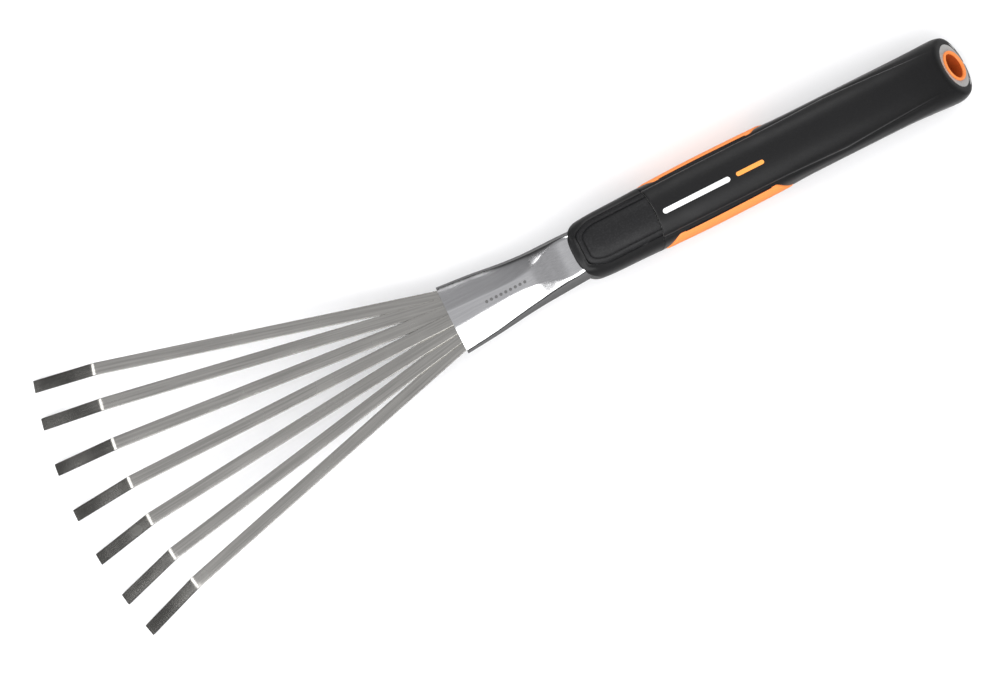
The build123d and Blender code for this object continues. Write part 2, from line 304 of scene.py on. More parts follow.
def noise_of(material, scale, stretch=(1, 1, 1), detail=3.0, space="Object"):
    """A noise pattern over the piece; scale is in cycles per metre."""
    nodes, links = material.node_tree.nodes, material.node_tree.links
    place = nodes.new("ShaderNodeTexCoord")
    mapping = nodes.new("ShaderNodeMapping")
    mapping.inputs["Scale"].default_value = stretch
    noise = nodes.new("ShaderNodeTexNoise")
    noise.inputs["Scale"].default_value = scale
    noise.inputs["Detail"].default_value = detail
    links.new(place.outputs[space], mapping.inputs["Vector"])
    links.new(mapping.outputs["Vector"], noise.inputs["Vector"])
    return noise.outputs["Fac"]


def vary_colour(material, shader, pattern, dark, light, low=0.35, high=0.65):
    """Base colour from dark to light as a pattern goes from low to high."""
    nodes, links = material.node_tree.nodes, material.node_tree.links
    ramp = nodes.new("ShaderNodeValToRGB")
    ramp.color_ramp.elements[0].position = low
    ramp.color_ramp.elements[0].color = (*dark, 1)
    ramp.color_ramp.elements[1].position = high
    ramp.color_ramp.elements[1].color = (*light, 1)
    links.new(pattern, ramp.inputs["Fac"])
    links.new(ramp.outputs["Color"], shader.inputs["Base Color"])


def vary_roughness(material, shader, pattern, low, high):
    """Roughness between two values over the usual range of a noise pattern."""
    nodes, links = material.node_tree.nodes, material.node_tree.links
    span = nodes.new("ShaderNodeMapRange")
    span.inputs["From Min"].default_value = 0.3
    span.inputs["From Max"].default_value = 0.7
    span.inputs["To Min"].default_value = low
    span.inputs["To Max"].default_value = high
    links.new(pattern, span.inputs["Value"])
    links.new(span.outputs["Result"], shader.inputs["Roughness"])


def bump(material, shader, patterns):
    """Relief from (pattern, height in metres) pairs, laid over each other."""
    nodes, links = material.node_tree.nodes, material.node_tree.links
    normal = None
    for pattern, height in patterns:
        node = nodes.new("ShaderNodeBump")
        node.inputs["Strength"].default_value = 1.0
        node.inputs["Distance"].default_value = height
        links.new(pattern, node.inputs["Height"])
        if normal is not None:
            links.new(normal, node.inputs["Normal"])
        normal = node.outputs["Normal"]
    links.new(normal, shader.inputs["Normal"])


def steel(name, colour, roughness, grain, stretch, space, relief, contrast=0.12):
    """Bright steel with fine grinding lines along it and faint cloudy wear."""
    material, shader = shader_of(name, colour, 1.0)
    lines = noise_of(material, grain, stretch, detail=4.0, space=space)
    clouds = noise_of(material, CLOUD_SCALE)
    dark = tuple(c * (1 - contrast) for c in colour)
    light = tuple(min(1.0, c * (1 + contrast)) for c in colour)
    vary_colour(material, shader, lines, dark, light)
    vary_roughness(material, shader, clouds, roughness * 0.85, roughness * 1.2)
    bump(material, shader, [(lines, relief)])
    return material


def moulded(name, colour, roughness, grain, relief, lift=1.6, specular=0.5, sheen=0.0):
    """Moulded plastic or rubber with a fine spark-eroded grain and a trace of dust."""
    material, shader = shader_of(name, colour, 0.0, specular)
    shader.inputs["Sheen Weight"].default_value = sheen
    shader.inputs["Sheen Roughness"].default_value = SHEEN_ROUGHNESS
    fine = noise_of(material, grain, detail=2.0)
    broad = noise_of(material, DUST_SCALE, detail=4.0)
    light = tuple(min(1.0, c * lift) for c in colour)
    vary_colour(material, shader, fine, colour, light, 0.45, 0.8)
    vary_roughness(material, shader, broad, roughness * 0.9, roughness * 1.12)
    bump(material, shader, [(fine, relief), (broad, relief * 2)])
    return material


TINE_STEEL = steel("tine_steel", (0.50, 0.49, 0.465), roughness=0.24, grain=1100.0, stretch=(0.02, 1, 1),
                   space="UV", relief=0.0000012)
TUBE_STEEL = steel("tube_steel", (0.76, 0.76, 0.77), roughness=0.17, grain=1500.0, stretch=(0.03, 1, 1),
                   space="Object", relief=0.0000001, contrast=0.04)
PIN_STEEL = steel("pin_steel", (0.6, 0.6, 0.6), roughness=0.3, grain=500.0, stretch=(1, 0.1, 1),
                  space="Object", relief=0.000004)
GRIP_BLACK = moulded("grip_black", (0.006, 0.006, 0.0065), roughness=0.42, grain=2200.0, relief=0.00003,
                     lift=1.8, specular=0.34, sheen=0.32)
COLLAR_BLACK = moulded("collar_black", (0.007, 0.007, 0.0075), roughness=0.4, grain=2000.0, relief=0.00002,
                       lift=1.8, specular=0.34, sheen=0.2)
PAD_BLACK = moulded("pad_black", (0.008, 0.008, 0.0088), roughness=0.5, grain=1500.0, relief=0.00008,
                    lift=2.4, specular=0.34)
CORE_ORANGE = moulded("core_orange", (0.93, 0.27, 0.06), roughness=0.34, grain=1200.0, relief=0.00001,
                      lift=1.03)
# a darker copy of the orange, painted shade for the inside of the hanging hole
BORE_PAINTED_SHADE = moulded("bore_painted_shade", (0.42, 0.07, 0.01), roughness=0.4, grain=1200.0, relief=0.00001,
                      lift=1.05)
BLOCK_NYLON = moulded("block_nylon", (0.03, 0.03, 0.032), roughness=0.5, grain=1500.0, relief=0.00002)
# painted highlight: grey on the black dish round the eyelet, for the light that it reflects
FACET_PAINTED_HIGHLIGHT = moulded("facet_painted_highlight", (0.36, 0.36, 0.355), roughness=0.3, grain=1500.0, relief=0.00001, lift=1.1)
PRINT_WHITE = moulded("print_white", (0.86, 0.86, 0.86), roughness=0.4, grain=2400.0, relief=0.00001,
                      lift=1.1)
PRINT_ORANGE = moulded("print_orange", (0.9, 0.33, 0.06), roughness=0.4, grain=2400.0, relief=0.00001,
                       lift=1.1)
STAMP_GREY = moulded("stamp_grey", (0.10, 0.10, 0.10), roughness=0.5, grain=1500.0, relief=0.00001, lift=1.2)
FLOOR_WHITE = moulded("floor_white", (0.93, 0.93, 0.94), roughness=0.8, grain=300.0, relief=0.00001,
                      lift=1.01, specular=0.1)

NODE_MATERIALS = {"handle_core": CORE_ORANGE, "grip": GRIP_BLACK, "front_collar": COLLAR_BLACK,
                  "thumb_pad": PAD_BLACK, "ferrule": TUBE_STEEL, "cross_pin": PIN_STEEL,
                  "tine_block": BLOCK_NYLON}


def finish_cad_nodes():
    """Gives every CAD node the material of what it is made of."""
    for name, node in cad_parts.items():
        node.data.materials.clear()
        node.data.materials.append(NODE_MATERIALS.get(name, TINE_STEEL))


# ================================================================ tines
def tine_level(steps_out, distance):
    """Height of a strip's middle at a distance from the fan centre."""
    mouth_height = ROOT_HEIGHT - ROOT_LEVEL_STEP * steps_out
    share = (distance - TINE_MOUTH) / (TINE_BEND - TINE_MOUTH)
    return mouth_height + (BEND_HEIGHT - mouth_height) * share


def tine_path(steps_out):
    """Distance from the fan centre, height and pitch angle along a strip, rounded at the bend."""
    root_height = tine_level(steps_out, TINE_ROOT)
    rise = math.atan2(BEND_HEIGHT - root_height, TINE_BEND - TINE_ROOT)
    turn = rise + TIP_ANGLE
    tangent = BEND_RADIUS * math.tan(turn / 2)
    length = math.hypot(TINE_BEND - TINE_ROOT, BEND_HEIGHT - root_height) - tangent
    rows = [(TINE_ROOT + s * math.cos(rise), root_height + s * math.sin(rise), rise)
            for s in np.linspace(0, length, STRIP_ROWS)]
    start = rows[-1]
    centre = (start[0] + BEND_RADIUS * math.sin(rise), start[1] - BEND_RADIUS * math.cos(rise))
    for k in range(1, BEND_ROWS + 1):
        pitch = rise - turn * k / BEND_ROWS
        rows.append((centre[0] - BEND_RADIUS * math.sin(pitch),
                     centre[1] + BEND_RADIUS * math.cos(pitch), pitch))
    corner = rows[-1]
    for s in np.linspace(0, TIP_LENGTH - tangent, TIP_ROWS)[1:]:
        rows.append((corner[0] + s * math.cos(TIP_ANGLE), corner[1] - s * math.sin(TIP_ANGLE), -TIP_ANGLE))
    return rows


def strip_outline():
    """Cross-section of a strip (across, up) with eased edges."""
    points = []
    for side, up in ((1, 1), (-1, 1), (-1, -1), (1, -1)):
        corner = (side * (TINE_WIDTH / 2 - TINE_EDGE), up * (TINE_THICKNESS / 2 - TINE_EDGE))
        turns = range(EDGE_STEPS + 1) if side * up > 0 else range(EDGE_STEPS, -1, -1)
        for k in turns:
            angle = math.radians(90 * k / EDGE_STEPS)
            points.append((corner[0] + side * TINE_EDGE * math.cos(angle),
                           corner[1] + up * TINE_EDGE * math.sin(angle)))
    return points


def build_tine(index):
    """One strip, cut off at the middle plane where the roots would overlap."""
    middle = len(TINE_ANGLES) // 2
    steps_out = abs(index - middle)
    turn = math.radians(180 - TINE_ANGLES[index])
    along = np.array((math.cos(turn), math.sin(turn), 0.0))
    across = np.array((-math.sin(turn), math.cos(turn), 0.0))
    side = (TINE_ANGLES[index] > 0) - (TINE_ANGLES[index] < 0)
    outline = strip_outline()
    rows = []
    for distance, height, pitch in tine_path(steps_out):
        sideways = -math.tan(math.radians(TINE_SPLAY[index])) * max(0.0, distance - TINE_BEND)
        centre = np.array((FAN_CENTRE_X, 0, 0)) + along * distance + across * sideways
        centre[2] = height
        normal = -along * math.sin(pitch) + np.array((0, 0, math.cos(pitch)))
        ring = [centre + across * a + normal * b for a, b in outline]
        if side:
            for point in ring:
                point[1] = side * max(side * point[1], MITRE_GAP)
        rows.append(ring)
    count = len(outline)
    faces = grid_faces(len(rows), count, False, True)
    faces.append(tuple(range(count)))
    faces.append(tuple(reversed(range((len(rows) - 1) * count, len(rows) * count))))
    piece = make_piece(f"tine_{index + 1}_strip", rows, faces, [TINE_STEEL], "tine_steel", sharp=35.0,
                       replaced=(f"tine_{index + 1}",))
    add_strip_uv(piece, along, across, index)


def add_strip_uv(piece, along, across, index):
    """UV in metres, along and across the strip, so that the grinding lines follow it."""
    layer = piece.data.uv_layers.new(name="along")
    for loop in piece.data.loops:
        point = np.array(piece.data.vertices[loop.vertex_index].co)
        layer.data[loop.index].uv = (point @ along + UV_SHIFT * index, point @ across)


# ================================================================ ferrule
ROOF_REACH = 2.0               # half width over which the underside's crest is rounded
RIDGE_EASE = 0.5               # softens the edge between the flat ridge and the roof's sides


def crest_drop(y, slope):
    """How far a crest with a rounded top falls away at a distance from the middle plane."""
    return slope * (np.sqrt(y * y + ROOF_REACH ** 2) - ROOF_REACH)


def roof_drop(y, half_width, slope, flat):
    """How far the roof lies below its ridge, flat in the middle and sloping at the sides."""
    beyond = np.abs(y) - flat
    eased = (beyond + np.sqrt(beyond ** 2 + RIDGE_EASE)) / 2
    return crest_drop(half_width, slope) * eased / (half_width - flat)


def tube_section(x, angle, wall):
    """Points of the pressed tube at x, for every angle round it."""
    half_width, half_thickness, ridge, squareness, slope, flat = station_at(TUBE_STATIONS, x)
    middle = ridge - half_thickness
    y = (half_width - wall) * np.cos(angle)
    rise = (half_thickness - wall) * np.sqrt(np.clip(1 - np.abs(np.cos(angle)) ** squareness, 0, 1))
    drop = np.where(np.sin(angle) > 0, roof_drop(y, half_width, slope, flat), crest_drop(y, slope))
    z = middle + np.where(np.sin(angle) > 0, rise, -rise) - drop
    return np.stack((np.full_like(y, x), y, z), axis=-1)


def tube_rings(wall, angle):
    """Rings from the mouth to the hidden end, outside or one wall thickness inside."""
    neck_x = TUBE_STATIONS[-1][0]
    rings = [tube_section(x, angle, wall) for x in np.linspace(MOUTH_X, neck_x, TUBE_ROWS)]
    last = rings[-1]
    for x in np.linspace(neck_x, TUBE_END_X, NECK_ROWS)[1:]:
        ring = last.copy()
        ring[:, 0] = x
        rings.append(ring)
    return rings


def build_ferrule():
    """The pressed tube, hollow, with its wall showing at the mouth."""
    angle = ring_angles()
    outer = tube_rings(0.0, angle)
    inner = tube_rings(TUBE_WALL, angle)
    torus_piece("ferrule_tube", outer + inner[::-1], [TUBE_STEEL], "tube_steel", sharp=30.0,
                replaced=("ferrule",))


# ================================================================ handle surface
def handle_point(path, angle, inset=0.0):
    """Points of the handle; path is x as far as the rounded end and then the distance round its corner."""
    start = HANDLE_END_X - END_CORNER_LENGTH
    quarter = np.clip((path - start) / END_CORNER_PATH, 0, 1) * math.pi / 2
    x = np.where(path < start, path, start + END_CORNER_LENGTH * np.sin(quarter) ** (2 / END_SQUARENESS))
    narrowing = np.where(path < start, 1.0, np.cos(quarter) ** (2 / END_SQUARENESS))
    half_width, top, bottom = station_at(HANDLE_STATIONS, x)
    foot = np.clip(x - (HANDLE_END_X - END_FOOT_RADIUS), 0, END_FOOT_RADIUS)
    bottom = bottom + END_FOOT_RADIUS - np.sqrt(END_FOOT_RADIUS ** 2 - foot ** 2)
    bottom = np.maximum(bottom, FLOOR_Z)
    half_height = (top - bottom) / 2 - inset
    across = signed_power(np.cos(angle), 2 / HANDLE_SQUARENESS)
    up = signed_power(np.sin(angle), 2 / HANDLE_SQUARENESS)
    y = (half_width - inset) * narrowing * across
    z = (top + bottom) / 2 + half_height * up
    return np.stack((x, y, z), axis=-1)


def handle_side(x, z):
    """Half width of the handle at a height."""
    half_width, top, bottom = station_at(HANDLE_STATIONS, x)
    share = np.clip(np.abs(z - (top + bottom) / 2) / ((top - bottom) / 2), 0, 1)
    return half_width * (1 - share ** HANDLE_SQUARENESS) ** (1 / HANDLE_SQUARENESS)


def handle_top(x, y):
    """Height of the handle's top at a distance from its middle plane."""
    half_width, top, bottom = station_at(HANDLE_STATIONS, x)
    share = np.clip(np.abs(y) / half_width, 0, 1)
    height = (top - bottom) / 2 * (1 - share ** HANDLE_SQUARENESS) ** (1 / HANDLE_SQUARENESS)
    return (top + bottom) / 2 + height


def outward(points):
    """Unit normals of a grid of handle points, away from the handle's middle."""
    down_rows = np.gradient(points, axis=0)
    round_columns = np.roll(points, -1, axis=1) - np.roll(points, 1, axis=1)
    normal = np.cross(round_columns, down_rows)
    normal /= np.linalg.norm(normal, axis=-1, keepdims=True) + 1e-12
    middle = points.mean(axis=1, keepdims=True)
    away = np.sum(normal * (points - middle), axis=-1, keepdims=True)
    return normal * np.where(away < 0, -1.0, 1.0)


SEAM_SEARCH = (45.0, 80.0)     # paths between which the seam lies
END_SEARCH_FROM = 190.0
END_MARGIN = 0.05              # keeps the last ring off the handle's middle plane


def seam_path(angle, gap):
    """Where each line along the handle crosses the ball-shaped seam, or a gap beyond it."""
    def outside(path):
        point = handle_point(path, angle)
        return np.linalg.norm(point - SEAM_CENTRE, axis=-1) - SEAM_RADIUS - gap
    return bisect(outside, np.full_like(angle, SEAM_SEARCH[0]), np.full_like(angle, SEAM_SEARCH[1]))


def end_path(angle):
    """Where each line along the handle meets the slanted end face, or runs out at the end."""
    limit = HANDLE_END_X - END_CORNER_LENGTH + END_CORNER_PATH - END_MARGIN

    def outside(path):
        return (handle_point(path, angle) - HOLE_CENTRE) @ HOLE_AXIS
    return bisect(outside, np.full_like(angle, END_SEARCH_FROM), np.full_like(angle, limit))


# x and distance from the middle plane of the crease below the top panel
CREASE = np.array(((60.0, 11.6), (126.0, 11.8), (154.0, 12.6), (189.0, 10.6), (206.0, 9.6)))
CREASE_DEPTH = 0.75
CREASE_WIDTH = 0.7
LEDGE_DEPTH = 0.3                # how far the sides lie below the top panel past the crease
LEDGE_WIDTH = 1.2
CREASE_LOW_Z, CREASE_HIGH_Z = 19.0, 23.0           # heights between which the crease sets in
CREASE_FADE_FROM, CREASE_FADE_TO = 186.0, 207.0    # x between which it runs out towards the end
LEDGE_FROM, LEDGE_TO = 62.0, 72.0                  # x between which the ledge sets in behind the seam
WINDOW_FRONT_X = 66.9
WINDOW_BACK_X = 127.4
WINDOW_TAPER = 8.0
WINDOW_TOP_Z = 27.6
WINDOW_BOTTOM_Z = 9.0
WINDOW_OVERRUN = 0.6           # keeps the blunt tips of a window from closing to a point
WINDOW_TIP_SHARE = 0.06        # height of the tips against the whole window


def crease_relief(points):
    """How far the surface sinks along the two creases."""
    x, y, z = points[..., 0], np.abs(points[..., 1]), points[..., 2]
    place = np.interp(x, CREASE[:, 0], CREASE[:, 1])
    on_top = smooth(z, CREASE_LOW_Z, CREASE_HIGH_Z)
    fading = 1 - smooth(x, CREASE_FADE_FROM, CREASE_FADE_TO)
    ledge = LEDGE_DEPTH * smooth(y - place, 0.0, LEDGE_WIDTH) * smooth(x, LEDGE_FROM, LEDGE_TO)
    return fading * on_top * (CREASE_DEPTH * np.exp(-((y - place) / CREASE_WIDTH) ** 2) + ledge)


def window_height(x):
    """Lower and upper edge of a side window at x."""
    along = np.minimum(x - WINDOW_FRONT_X, WINDOW_BACK_X - x)
    share = smooth(along, -WINDOW_OVERRUN, WINDOW_TAPER)
    middle = (WINDOW_TOP_Z + WINDOW_BOTTOM_Z) / 2
    half = (WINDOW_TOP_Z - WINDOW_BOTTOM_Z) / 2
    reach = half * (WINDOW_TIP_SHARE + (1 - WINDOW_TIP_SHARE) * share)
    return middle - reach, middle + reach


SKIN_OVER_PADS = 0.06          # the skin runs this far over the edges of the core's pads
WINDOW_SINK = 0.9              # depth of the skin below the inserts
SINK_FROM, SINK_TO = 0.1, 1.0  # distances inside the window between which it sinks
PADS_FROM, PADS_TO = 64.0, 130.0
PADS_EASE = 2.0
PADS_LOW_Y, PADS_HIGH_Y = 8.0, 10.0


def window_relief(points):
    """How far the skin sinks below the orange inserts, which lie over it."""
    x, z = points[..., 0], points[..., 2]
    low, high = window_height(x)
    within = np.minimum(np.minimum(z - low, high - z), np.minimum(x - WINDOW_FRONT_X, WINDOW_BACK_X - x))
    along = (smooth(x, PADS_FROM - PADS_EASE, PADS_FROM + PADS_EASE)
             * (1 - smooth(x, PADS_TO - PADS_EASE, PADS_TO + PADS_EASE)))
    near = along * smooth(np.abs(points[..., 1]), PADS_LOW_Y, PADS_HIGH_Y)
    return WINDOW_SINK * smooth(within, SINK_FROM, SINK_TO) - SKIN_OVER_PADS * near


DISH_HALF_WIDTH = 10.2
DISH_HALF_HEIGHT = 8.6
DISH_RISE = 0.9                # the dish sits this far up the slope from the hole
DISH_DEPTH = 0.55
DISH_STEPS = (0.08, 0.3, 0.6, 0.9, 1.0)
DISH_MARGIN = 0.35             # least width of the rim round the dish
RIM_SHARE = 0.8                # how much of the rim its rounding takes
RIM_LEAST, RIM_MOST = 0.25, 1.6
RIM_STEPS = 5
HOLE_EASE = 0.05               # clearance of the skin round the eyelet
GRIP_WALL = 2.2
GRIP_INNER_BACK = 9.0          # how far before the end face the inside of the skin stops
LIP_DEPTH = 0.3                # how far the skin's front edge turns in at the seam


def facet_radius(direction):
    """Radius of the shallow dish round the eyelet; direction is 90 degrees up the slope."""
    across, up = np.cos(direction) / DISH_HALF_WIDTH, np.sin(direction) / DISH_HALF_HEIGHT
    oval = 1 / np.sqrt(across ** 2 + up ** 2)
    return oval + DISH_RISE * np.sin(direction)


def build_grip():
    """The soft skin, from the seam over the rounded end to the eyelet, and back along its inside."""
    angle = ring_angles()
    start = seam_path(angle, SEAM_GAP)
    end = end_path(angle)
    corner = handle_point(end, angle)
    spoke = corner - HOLE_CENTRE
    reach = np.linalg.norm(spoke, axis=-1, keepdims=True)
    spoke = spoke / reach
    direction = np.arctan2(spoke @ UP_THE_SLOPE, spoke[:, 1])
    dish = np.minimum(facet_radius(direction)[:, None], reach - DISH_MARGIN)
    rim = np.clip((reach - dish) * RIM_SHARE, RIM_LEAST, RIM_MOST)
    share = np.linspace(0, 1, GRIP_ROWS)[:, None]
    path = start + (end - rim[:, 0] - start) * share
    skin = handle_point(path, np.broadcast_to(angle, path.shape))
    skin = skin - outward(skin) * (crease_relief(skin) + window_relief(skin))[..., None]
    rings = list(skin)
    rings[0] = skin[0] - outward(skin)[0] * LIP_DEPTH
    inner_start = corner - spoke * rim
    rings += bezier_rows(skin[-1], corner, inner_start, RIM_STEPS)
    flat_spoke = np.outer(np.cos(direction), (0, 1, 0)) + np.outer(np.sin(direction), UP_THE_SLOPE)
    edge = HOLE_CENTRE + flat_spoke * dish
    rings += [inner_start, inner_start * 0.5 + edge * 0.5, edge]
    for share in DISH_STEPS:
        radius = dish * (1 - share) + (EYELET_RADIUS + HOLE_EASE) * share
        sink = DISH_DEPTH * math.sin(share * math.pi / 2)
        rings.append(HOLE_CENTRE + flat_spoke * radius - HOLE_AXIS * sink)
    rings.append(HOLE_CENTRE + flat_spoke * (EYELET_RADIUS + HOLE_EASE) - HOLE_AXIS * GRIP_WALL)
    for share in np.linspace(1, 0, GRIP_INNER_ROWS):
        rings.append(handle_point(start + (end - GRIP_INNER_BACK - start) * share, angle, GRIP_WALL))
    # the second material paints a highlight on the dish round the eyelet
    piece = torus_piece("grip_skin", rings, [GRIP_BLACK, FACET_PAINTED_HIGHLIGHT], "grip_black", replaced=("grip",))
    cut_hole_exit(piece)
    paint_facet(piece)


def cut_hole_exit(piece):
    """Opens the skin where the hanging hole comes out on the underside."""
    work = bmesh.new()
    bmesh.ops.create_cone(work, cap_ends=True, segments=BORE_COLUMNS, radius1=EYELET_RADIUS * MM,
                          radius2=EYELET_RADIUS * MM, depth=(EXIT_TO - EXIT_FROM) * MM)
    turn = Vector(HOLE_AXIS).to_track_quat("Z", "Y").to_matrix().to_4x4()
    middle = Vector((HOLE_CENTRE - HOLE_AXIS * (EXIT_FROM + EXIT_TO) / 2) * MM)
    bmesh.ops.transform(work, matrix=Matrix.Translation(middle) @ turn, verts=work.verts)
    cutter_mesh = bpy.data.meshes.new("exit_cutter")
    work.to_mesh(cutter_mesh)
    work.free()
    cutter = bpy.data.objects.new("exit_cutter", cutter_mesh)
    bpy.context.scene.collection.objects.link(cutter)
    cut = piece.modifiers.new("exit", "BOOLEAN")
    cut.operation = "DIFFERENCE"
    cut.solver = "EXACT"
    cut.object = cutter
    result = bpy.data.meshes.new_from_object(piece.evaluated_get(bpy.context.evaluated_depsgraph_get()))
    piece.modifiers.remove(cut)
    bpy.data.objects.remove(cutter)
    bpy.data.meshes.remove(cutter_mesh)
    whole = piece.data
    piece.data = result
    bpy.data.meshes.remove(whole)
    result.name = piece.name
    shade_smooth(result, SHARP_ANGLE)


PAINT_DEPTHS = (-0.62, -0.012)     # along the hole's axis, from the end face
PAINT_RADIUS = 10.9
PAINT_FACING = 0.5


def paint_facet(piece):
    """Gives the dish round the eyelet a grey colour, a painted highlight for the light that the black dish
    reflects.
    """
    centre = Vector(HOLE_CENTRE * MM)
    axis = Vector(HOLE_AXIS)
    for face in piece.data.polygons:
        away = Vector(face.center) - centre
        depth = away.dot(axis) / MM
        radius = (away - axis * away.dot(axis)).length / MM
        in_dish = PAINT_DEPTHS[0] < depth < PAINT_DEPTHS[1] and radius < PAINT_RADIUS
        if in_dish and face.normal.dot(axis) > PAINT_FACING:
            face.material_index = 1


# ================================================================ collar and thumb pad
TUBE_CLEARANCE = 0.04
COLLAR_RIM = 1.0
COLLAR_WALL = 2.0
PAD_HALF_WIDTH = 10.2
PAD_FRONT_HALF_WIDTH = 7.0
PAD_CORNER_LENGTH = 7.0
PAD_GROOVE = 0.22              # gap between pad and collar
PAD_SINK = 1.1                 # depth of the collar's surface below the pad
PAD_CORNER_SOFTNESS = 0.5
HALO_PLACE = 1.3               # a shallow hollow runs this far outside the pad's outline
HALO_WIDTH = 1.0
HALO_DEPTH = 0.3
RIM_WALL_SHARE = 0.45          # where the rounding of the collar's front starts on its face
NOSE_SEARCH = (28.5, 44.0)     # paths between which the front lies
COLLAR_INNER_START = 7.0       # how far behind the front the inside of the collar starts
# distance from the pad's outline and height above the collar's surface
PAD_PROFILE = np.array((
    (0.2, -0.45), (0.32, -0.1), (0.55, 0.06), (1.0, 0.12), (1.6, 0.1), (2.1, 0.02), (2.35, -0.12),
    (2.5, -0.6), (2.75, -0.66), (3.0, -0.5), (3.3, -0.42), (4.0, -0.36), (5.0, -0.3), (6.0, -0.26),
    (7.0, -0.24), (8.3, -0.22)))
PAD_DEPTH = 1.7
PAD_SPINE = 9.0                # how far behind the pad's front its middle line starts
# distance beyond the seam and depth of the collar's skirt, which closes the seam's gap from below
SKIRT = ((0.02, 0.3), (0.02, 0.9), (SEAM_GAP - 0.03, 1.0))
SHOULDER_REACH, SHOULDER_STEPS = 2.6, 6
FRONT_REACH, FRONT_STEPS = 2.4, 8
SEAM_MARGIN = 0.05
SIDE_POINTS, SLOPE_POINTS, FRONT_POINTS = 30, 5, 12
EASE_LIMIT = 0.48              # most of an edge that one rounded corner may take


def nose_x(y):
    """Front of the collar at a distance from its middle plane."""
    share = np.clip(np.abs(y) / NOSE_HALF_WIDTH, 0, 1)
    return COLLAR_FRONT_X + NOSE_LENGTH * (1 - (1 - share ** NOSE_SQUARENESS) ** (1 / NOSE_SQUARENESS))


def pad_inset(x, y):
    """How far a place in plan lies inside the pad's outline."""
    run, rise = PAD_CORNER_LENGTH, PAD_HALF_WIDTH - PAD_FRONT_HALF_WIDTH
    slant = ((x - PAD_FRONT_X) * rise - (np.abs(y) - PAD_FRONT_HALF_WIDTH) * run) / math.hypot(run, rise)
    distances = np.stack((PAD_HALF_WIDTH - np.abs(y), slant, x - PAD_FRONT_X))
    return -PAD_CORNER_SOFTNESS * np.log(np.sum(np.exp(-distances / PAD_CORNER_SOFTNESS), axis=0))


def build_collar():
    """The collar's shell, from the tube over its rounded front to the seam, and back along its inside."""
    angle = ring_angles()
    end = seam_path(angle, 0.0)

    def behind_nose(path):
        point = handle_point(path, angle)
        return point[..., 0] - nose_x(point[..., 1])
    start = bisect(behind_nose, np.full_like(angle, NOSE_SEARCH[0]), np.full_like(angle, NOSE_SEARCH[1]))
    share = np.linspace(0, 1, COLLAR_ROWS)[:, None]
    path = start + COLLAR_RIM + (end - start - COLLAR_RIM) * share
    skin = handle_point(path, np.broadcast_to(angle, path.shape))
    on_top = skin[..., 2] > TUBE_AXIS_Z
    inset = pad_inset(skin[..., 0], skin[..., 1])
    sunk = smooth(inset, 0.0, PAD_GROOVE) * on_top
    halo = np.exp(-((inset + HALO_PLACE) / HALO_WIDTH) ** 2) * on_top
    skin = skin - outward(skin) * (sunk * PAD_SINK + halo * HALO_DEPTH)[..., None]
    corner = handle_point(start, angle)
    spoke = corner * (0, 1, 1) - np.array((0, 0, TUBE_AXIS_Z))
    spoke = spoke / np.linalg.norm(spoke, axis=-1, keepdims=True)
    on_tube = np.array((0, 0, TUBE_AXIS_Z)) + spoke * (TUBE_RADIUS + TUBE_CLEARANCE)
    on_tube[:, 0] = nose_x(on_tube[:, 1])
    rim_start = corner - (corner - on_tube) * RIM_WALL_SHARE
    rings = [on_tube, rim_start] + bezier_rows(rim_start, corner, skin[0], 6) + list(skin)
    for beyond, depth in SKIRT:
        rings.append(handle_point(end + beyond, angle, depth))
    for share in (1.0, 0.6, 0.2):
        path = start + COLLAR_INNER_START + (end - start - COLLAR_INNER_START) * share
        rings.append(handle_point(path, angle, COLLAR_WALL))
    torus_piece("collar_shell", rings, [COLLAR_BLACK], "collar_black", sharp=50.0, replaced=("front_collar",))


def eased_corner(before, corner, after, reach, count):
    """Points that round one corner of an outline."""
    before, corner, after = (np.array(p, float) for p in (before, corner, after))
    to_before, to_after = np.linalg.norm(before - corner), np.linalg.norm(after - corner)
    reach = min(reach, EASE_LIMIT * to_before, EASE_LIMIT * to_after)
    start = corner + (before - corner) / to_before * reach
    end = corner + (after - corner) / to_after * reach
    return [start] + bezier_rows(start, corner, end, count) + [end]


def seam_x(y):
    """Where the seam crosses the top of the handle."""
    height = handle_top(np.full_like(y, SEAM_TOP_X), y) - SEAM_CENTRE[2]
    return SEAM_CENTRE[0] + np.sqrt(SEAM_RADIUS ** 2 - y ** 2 - height ** 2)


def pad_ring(inset):
    """Outline of the pad at a distance inside its edge, from the seam round the front to the seam."""
    run, rise = PAD_CORNER_LENGTH, PAD_HALF_WIDTH - PAD_FRONT_HALF_WIDTH
    slant = math.hypot(run, rise)
    half = PAD_HALF_WIDTH - inset
    shoulder = (PAD_FRONT_X + (slant * inset + (rise - inset) * run) / rise, half)
    front_y = PAD_FRONT_HALF_WIDTH + (inset * rise - slant * inset) / run
    front = (PAD_FRONT_X + inset, front_y)
    back = np.array((float(seam_x(np.array([half]))[0]) - SEAM_MARGIN, half))
    first = eased_corner(back, shoulder, front, SHOULDER_REACH, SHOULDER_STEPS)
    second = eased_corner(shoulder, front, (front[0], -front_y), FRONT_REACH, FRONT_STEPS)
    side = [back + (first[0] - back) * k / SIDE_POINTS for k in range(SIDE_POINTS)]
    slope = [first[-1] + (second[0] - first[-1]) * k / SLOPE_POINTS for k in range(1, SLOPE_POINTS)]
    across = [second[-1] * (1, 1 - 2 * k / FRONT_POINTS) for k in range(1, FRONT_POINTS // 2 + 1)]
    half_ring = side + first + slope + second + across
    return np.array(half_ring + [p * (1, -1) for p in reversed(half_ring[:-1])])


